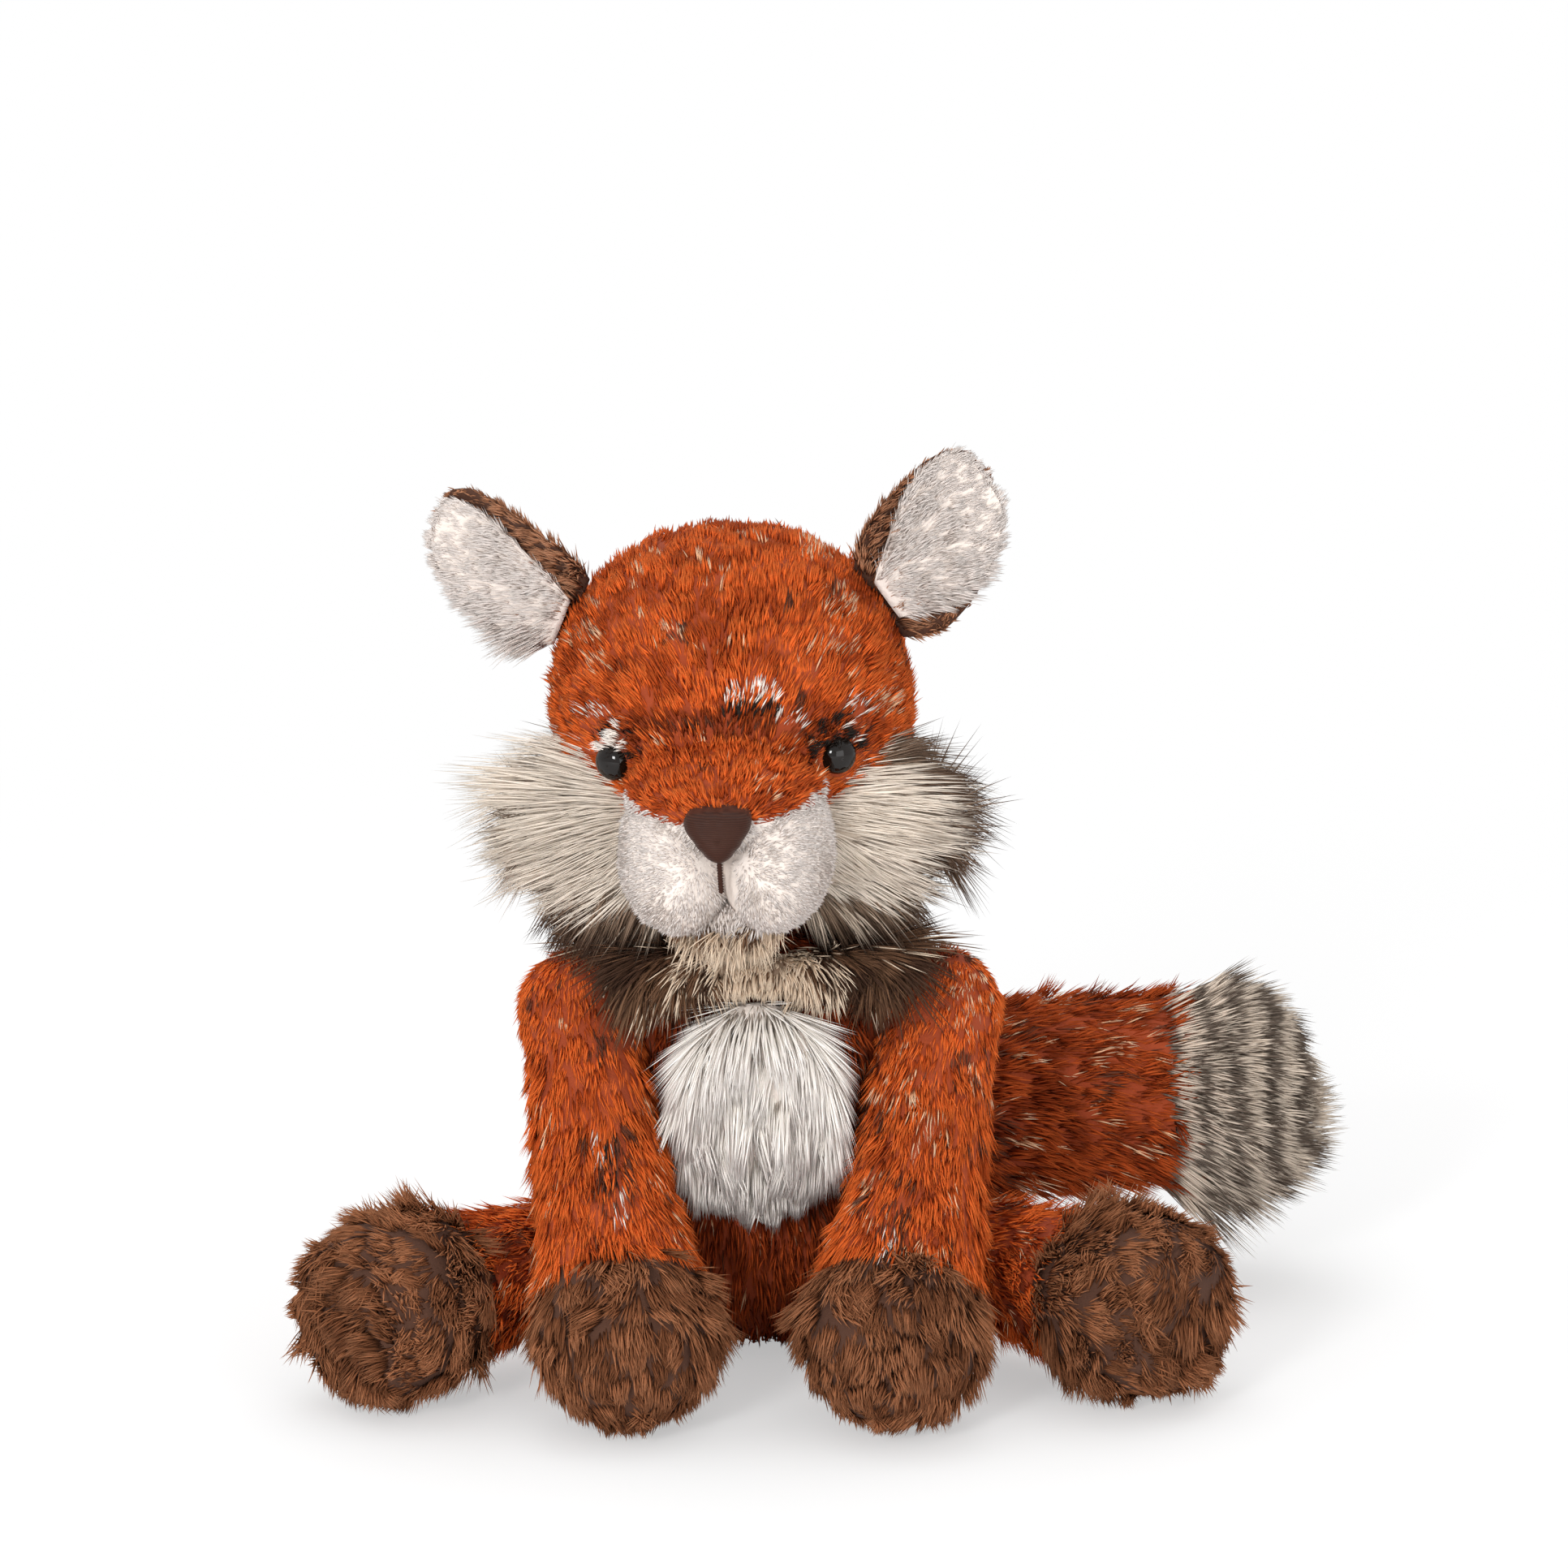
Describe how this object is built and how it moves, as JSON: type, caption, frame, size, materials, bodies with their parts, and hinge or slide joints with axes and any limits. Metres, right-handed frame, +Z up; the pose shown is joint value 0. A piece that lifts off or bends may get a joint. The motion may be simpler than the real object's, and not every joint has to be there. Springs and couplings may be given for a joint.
{
  "type": "plush fox",
  "caption": "Sitting plush fox with a turning head, bending ears, lifting arms, spreading legs, a swinging tail, a long-pile bib and cheek ruffs.",
  "frame": {"origin": "a point of the flat seat between the hips, on the surface the toy stands on", "axes": "+X to the toy's own left, -Y the way it faces, +Z up"},
  "size_m": [0.3308, 0.2153, 0.293],
  "materials": {
    "rust_plush": "rust-orange plush with a soft short pile",
    "white_plush": "white plush, short on the muzzle and ears, long on the bib",
    "grey_plush": "long cream-grey pile with dark tips and bands",
    "brown_plush": "brown plush with a soft short pile",
    "nose_satin": "dark brown satin and thread",
    "eye_gloss": "glossy moulded plastic",
    "washer_plastic": "pale moulded plastic",
    "stuffing_fibre": "white polyester fibre",
    "pouch_cloth": "plain woven cloth"
  },
  "bodies": {
    "torso": {"torso_skin": "rust_plush", "torso_stuffing": "stuffing_fibre", "pellet_pouch": "pouch_cloth", "chest_bib": "white_plush", "chest_collar": "grey_plush"},
    "neck": {"neck_skin": "rust_plush", "neck_stuffing": "stuffing_fibre"},
    "head": {"head_skin": "rust_plush", "head_stuffing": "stuffing_fibre", "cheek_ruff_left": "grey_plush", "cheek_ruff_right": "grey_plush", "muzzle_bridge": "rust_plush", "muzzle_pad_left": "white_plush", "muzzle_pad_right": "white_plush", "chin": "white_plush", "nose": "nose_satin", "lip_stitch": "nose_satin", "eye_left": "eye_gloss", "eye_right": "eye_gloss", "eye_washer_left": "washer_plastic", "eye_washer_right": "washer_plastic"},
    "tail": {"tail_sleeve": "rust_plush", "tail_brush": "grey_plush", "tail_stuffing": "stuffing_fibre"},
    "ear_left": {"ear_back_left": "brown_plush", "ear_lining_left": "white_plush"},
    "arm_left": {"arm_sleeve_left": "rust_plush", "paw_left": "brown_plush", "arm_stuffing_left": "stuffing_fibre"},
    "leg_left": {"leg_sleeve_left": "rust_plush", "foot_left": "brown_plush", "sole_left": "brown_plush", "leg_stuffing_left": "stuffing_fibre"},
    "ear_right": {"ear_back_right": "brown_plush", "ear_lining_right": "white_plush"},
    "arm_right": {"arm_sleeve_right": "rust_plush", "paw_right": "brown_plush", "arm_stuffing_right": "stuffing_fibre"},
    "leg_right": {"leg_sleeve_right": "rust_plush", "foot_right": "brown_plush", "sole_right": "brown_plush", "leg_stuffing_right": "stuffing_fibre"}
  },
  "joints": [
    {"name": "neck_turn", "type": "hinge", "parent": "torso", "child": "neck", "pos_m": [-0.0055, -0.004, 0.145], "axis": [0, 0, 1], "range_deg": [-30, 30]},
    {"name": "head_nod", "type": "hinge", "parent": "neck", "child": "head", "pos_m": [-0.0055, -0.004, 0.145], "axis": [1, 0, 0], "range_deg": [-15, 10]},
    {"name": "ear_bend_left", "type": "hinge", "parent": "head", "child": "ear_left", "pos_m": [0.03676, -0.01222, 0.23995], "axis": [0.55, 0.1794, -0.8157], "range_deg": [-20, 20]},
    {"name": "ear_bend_right", "type": "hinge", "parent": "head", "child": "ear_right", "pos_m": [-0.05649, -0.00734, 0.23587], "axis": [0.2982, -0.4229, 0.8557], "range_deg": [-20, 20]},
    {"name": "arm_lift_left", "type": "hinge", "parent": "torso", "child": "arm_left", "pos_m": [0.0555, -0.012, 0.11], "axis": [-1, 0, 0], "range_deg": [0, 45]},
    {"name": "arm_lift_right", "type": "hinge", "parent": "torso", "child": "arm_right", "pos_m": [-0.0555, -0.012, 0.11], "axis": [-1, 0, 0], "range_deg": [0, 45]},
    {"name": "leg_spread_left", "type": "hinge", "parent": "torso", "child": "leg_left", "pos_m": [0.045, -0.006, 0.034], "axis": [0, 0, 1], "range_deg": [0, 25]},
    {"name": "leg_spread_right", "type": "hinge", "parent": "torso", "child": "leg_right", "pos_m": [-0.045, -0.006, 0.034], "axis": [0, 0, -1], "range_deg": [0, 25]},
    {"name": "tail_swing", "type": "hinge", "parent": "torso", "child": "tail", "pos_m": [0.022, 0.04, 0.06], "axis": [0, 0, 1], "range_deg": [0, 40]}
  ]
}
